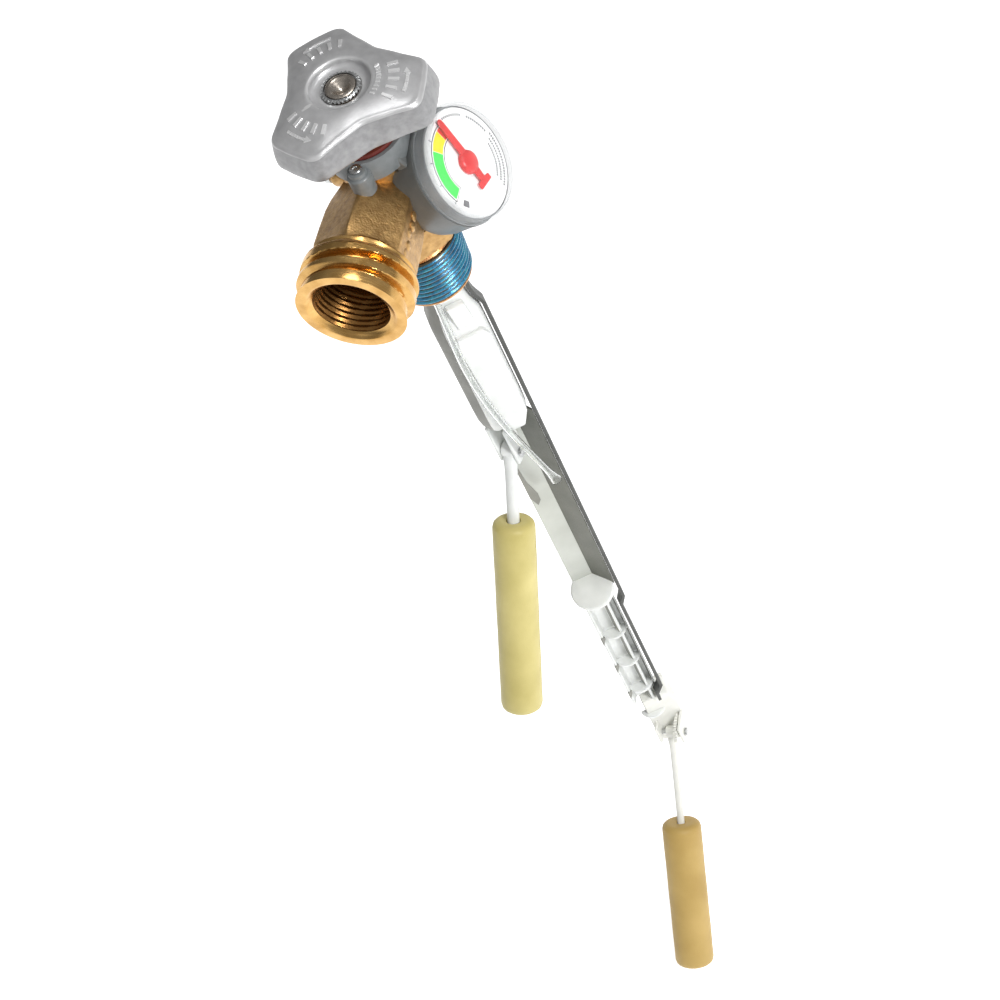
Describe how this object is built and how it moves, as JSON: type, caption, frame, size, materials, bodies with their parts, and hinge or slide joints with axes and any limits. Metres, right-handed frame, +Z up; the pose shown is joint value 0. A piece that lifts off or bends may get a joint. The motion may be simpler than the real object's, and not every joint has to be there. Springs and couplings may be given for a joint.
{
  "type": "gas cylinder valve",
  "caption": "Brass gas cylinder valve with handwheel, side outlet, overfill-stop float, float gauge and long stem.",
  "frame": {"origin": "on the spindle axis, at the shoulder above the inlet thread", "axes": "+Z up the spindle axis, -Y out of the outlet, +X towards the gauge"},
  "size_m": [0.0559, 0.1021, 0.4755],
  "materials": {
    "brass": "cast and machined",
    "sealant": "blue thread sealant, glossy",
    "zinc_paint": "silver grey paint on die-cast zinc",
    "steel": "plain",
    "strip_steel": "dull, grey coated",
    "grey_plastic": "moulded, fine matt",
    "white_plastic": "moulded acetal, satin",
    "cream_plastic": "moulded, satin",
    "clear_plastic": "clear polycarbonate",
    "dial_print": "printed dial",
    "needle_red": "red, satin",
    "float_foam": "sealed tan foam",
    "rubber": "nitrile",
    "red_fibre": "red fibre washer",
    "magnet": "ferrite"
  },
  "bodies": {
    "valve": {"valve_body": "brass", "thread_sealant": "sealant", "packing_nut": "brass", "bonnet_washer": "red_fibre", "gland_packing": "rubber", "packing_follower": "brass", "check_retainer": "brass", "check_guide": "brass", "check_spring": "steel", "relief_plug": "brass", "relief_spring": "steel", "gauge_case": "grey_plastic", "gauge_clamp_screw": "steel", "dial_plate": "dial_print", "gauge_lens": "clear_plastic", "opd_housing": "white_plastic", "opd_cover": "white_plastic", "opd_pivot_pin": "steel", "dip_tube": "clear_plastic", "rail_strip": "strip_steel", "guide_channel": "white_plastic", "stem_flange": "white_plastic", "ladder_guide": "white_plastic", "gear_housing": "cream_plastic", "gear_cover": "cream_plastic", "gauge_pivot_pin": "steel"},
    "wheel": {"handwheel": "zinc_paint", "spline_ring": "zinc_paint", "spindle": "brass"},
    "plug": {"seat_plug": "brass", "seat_disc": "rubber"},
    "check": {"check_poppet": "brass"},
    "relief": {"relief_disc": "brass"},
    "bleeder": {"bleeder_screw": "steel"},
    "pointer": {"needle": "needle_red", "gauge_magnet": "magnet"},
    "opd_swing": {"opd_float_arm": "white_plastic", "opd_float": "float_foam"},
    "piston": {"opd_piston": "cream_plastic"},
    "gauge_swing": {"gauge_float_arm": "cream_plastic", "gauge_float": "float_foam", "gauge_sector": "cream_plastic"},
    "drive": {"drive_shaft": "steel", "drive_pinion": "cream_plastic", "drive_magnet": "magnet"}
  },
  "joints": [
    {"name": "wheel_turn", "type": "hinge", "parent": "valve", "child": "wheel", "pos_m": [0, 0, 0.05], "axis": [0, 0, 1], "range_deg": [0, 450]},
    {"name": "plug_lift", "type": "slide", "parent": "valve", "child": "plug", "axis": [0, 0, 1], "range_m": [0, 0.0032]},
    {"name": "check_push", "type": "slide", "parent": "valve", "child": "check", "axis": [0, 1, 0], "range_m": [0, 0.004], "stiffness_N_per_m": 200, "springref_m": -0.002, "deforming": ["check_spring"]},
    {"name": "relief_lift", "type": "slide", "parent": "valve", "child": "relief", "axis": [0, 1, 0], "range_m": [0, 0.002], "stiffness_N_per_m": 400, "springref_m": -0.002, "deforming": ["relief_spring"]},
    {"name": "bleeder_turn", "type": "hinge", "parent": "valve", "child": "bleeder", "pos_m": [-0.016, 0, 0.027], "axis": [-1, 0, 0], "range_deg": [0, 360]},
    {"name": "opd_float_swing", "type": "hinge", "parent": "valve", "child": "opd_swing", "pos_m": [-0.00093, -0.004, -0.1124], "axis": [-0.9803, 0.1977, 0], "range_deg": [0, 45]},
    {"name": "piston_lift", "type": "slide", "parent": "valve", "child": "piston", "axis": [0, 0, 1], "range_m": [0, 0.0036]},
    {"name": "gauge_float_swing", "type": "hinge", "parent": "valve", "child": "gauge_swing", "pos_m": [0.00601, -0.00161, -0.3287], "axis": [-0.9988, -0.0488, 0], "range_deg": [0, 98]},
    {"name": "drive_turn", "type": "hinge", "parent": "valve", "child": "drive", "pos_m": [0.00203, 0.00648, -0.15], "axis": [0, 0, 1], "range_deg": [0, 108]},
    {"name": "needle_turn", "type": "hinge", "parent": "valve", "child": "pointer", "pos_m": [0.0214, 0.0025, 0.0244], "axis": [0.8824, -0.0308, 0.4695], "range_deg": [0, 108]}
  ],
  "couplings": [
    {"joint": "plug_lift", "follows": "wheel_turn", "m_per_rad": 0.0004},
    {"joint": "piston_lift", "follows": "opd_float_swing", "m_per_rad": 0.0045},
    {"joint": "drive_turn", "follows": "gauge_float_swing", "ratio": 1.1},
    {"joint": "needle_turn", "follows": "gauge_float_swing", "ratio": 1.1}
  ]
}
